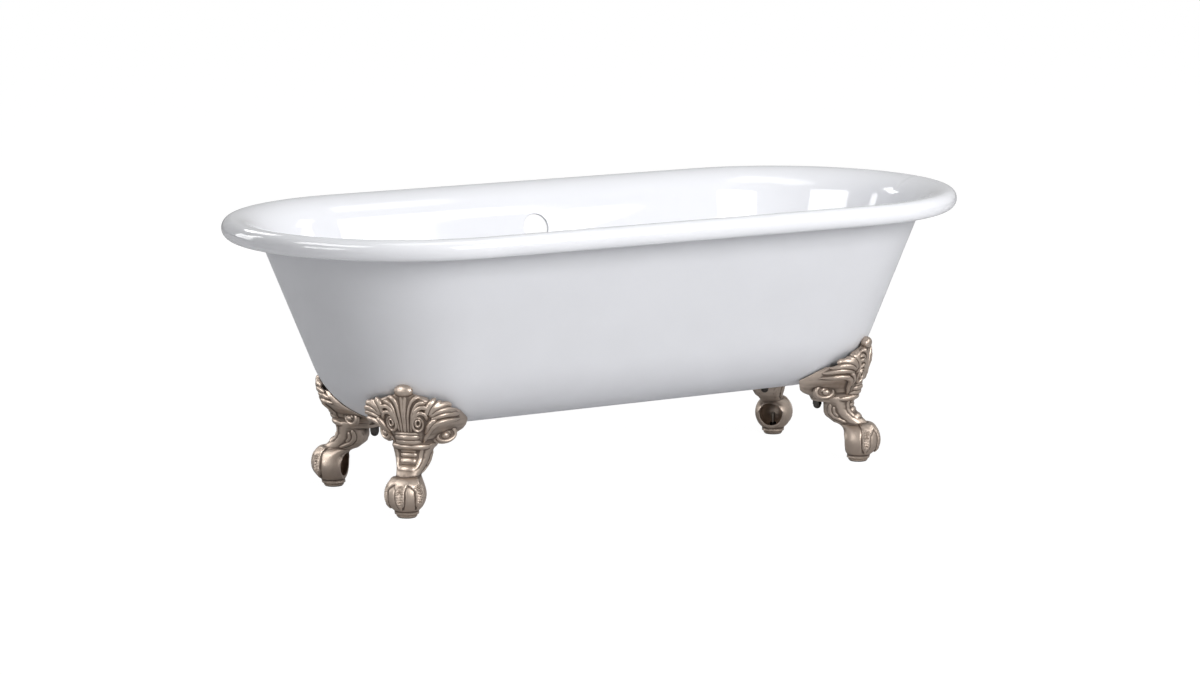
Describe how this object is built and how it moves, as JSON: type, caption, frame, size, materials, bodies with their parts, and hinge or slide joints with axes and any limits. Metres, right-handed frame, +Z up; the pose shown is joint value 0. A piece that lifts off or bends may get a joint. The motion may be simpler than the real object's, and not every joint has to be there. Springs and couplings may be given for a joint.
{
  "type": "bathtub",
  "caption": "Freestanding double-ended roll-top bath of white enamelled cast iron on ball-and-claw feet with levelling glides and bare waste and overflow holes.",
  "frame": {"origin": "on the floor, under the middle of the tub", "axes": "+X along the tub, +Y towards the side with the overflow hole, +Z up"},
  "size_m": [1.744, 0.8, 0.6144],
  "materials": {
    "enamelled_iron": "white vitreous enamel inside and over the roll, white paint outside",
    "nickel_casting": "satin nickel plate over the casting, darker in its recesses",
    "nickel_glide": "satin nickel plate",
    "dark_steel": "plain zinc plate",
    "brass": "turned",
    "sole_rubber": "matt"
  },
  "bodies": {
    "bath": {"tub_shell": "enamelled_iron", "foot_front_left": "nickel_casting", "foot_front_right": "nickel_casting", "foot_rear_left": "nickel_casting", "foot_rear_right": "nickel_casting", "foot_studs": "dark_steel", "foot_washers": "dark_steel", "foot_cap_nuts": "dark_steel", "leveller_bushes": "brass", "leveller_lock_nuts": "dark_steel"},
    "glide_front_left": {"glide_cup_front_left": "nickel_glide", "glide_sole_front_left": "sole_rubber"},
    "leveller_front_left": {"leveller_screw_front_left": "dark_steel"},
    "glide_front_right": {"glide_cup_front_right": "nickel_glide", "glide_sole_front_right": "sole_rubber"},
    "leveller_front_right": {"leveller_screw_front_right": "dark_steel"},
    "glide_rear_left": {"glide_cup_rear_left": "nickel_glide", "glide_sole_rear_left": "sole_rubber"},
    "leveller_rear_left": {"leveller_screw_rear_left": "dark_steel"},
    "glide_rear_right": {"glide_cup_rear_right": "nickel_glide", "glide_sole_rear_right": "sole_rubber"},
    "leveller_rear_right": {"leveller_screw_rear_right": "dark_steel"}
  },
  "joints": [
    {"name": "extend_front_left", "type": "slide", "parent": "bath", "child": "glide_front_left", "axis": [0, 0, -1], "range_m": [0, 0.012]},
    {"name": "turn_front_left", "type": "hinge", "parent": "glide_front_left", "child": "leveller_front_left", "pos_m": [-0.5736, -0.1786, 0.007], "axis": [0, 0, -1], "range_deg": [0, 3460]},
    {"name": "extend_front_right", "type": "slide", "parent": "bath", "child": "glide_front_right", "axis": [0, 0, -1], "range_m": [0, 0.012]},
    {"name": "turn_front_right", "type": "hinge", "parent": "glide_front_right", "child": "leveller_front_right", "pos_m": [0.5736, -0.1786, 0.007], "axis": [0, 0, -1], "range_deg": [0, 3460]},
    {"name": "extend_rear_left", "type": "slide", "parent": "bath", "child": "glide_rear_left", "axis": [0, 0, -1], "range_m": [0, 0.012]},
    {"name": "turn_rear_left", "type": "hinge", "parent": "glide_rear_left", "child": "leveller_rear_left", "pos_m": [-0.5736, 0.1786, 0.007], "axis": [0, 0, -1], "range_deg": [0, 3460]},
    {"name": "extend_rear_right", "type": "slide", "parent": "bath", "child": "glide_rear_right", "axis": [0, 0, -1], "range_m": [0, 0.012]},
    {"name": "turn_rear_right", "type": "hinge", "parent": "glide_rear_right", "child": "leveller_rear_right", "pos_m": [0.5736, 0.1786, 0.007], "axis": [0, 0, -1], "range_deg": [0, 3460]}
  ],
  "couplings": [
    {"joint": "turn_front_left", "follows": "extend_front_left", "rad_per_m": 5026.6},
    {"joint": "turn_front_right", "follows": "extend_front_right", "rad_per_m": 5026.6},
    {"joint": "turn_rear_left", "follows": "extend_rear_left", "rad_per_m": 5026.6},
    {"joint": "turn_rear_right", "follows": "extend_rear_right", "rad_per_m": 5026.6}
  ]
}
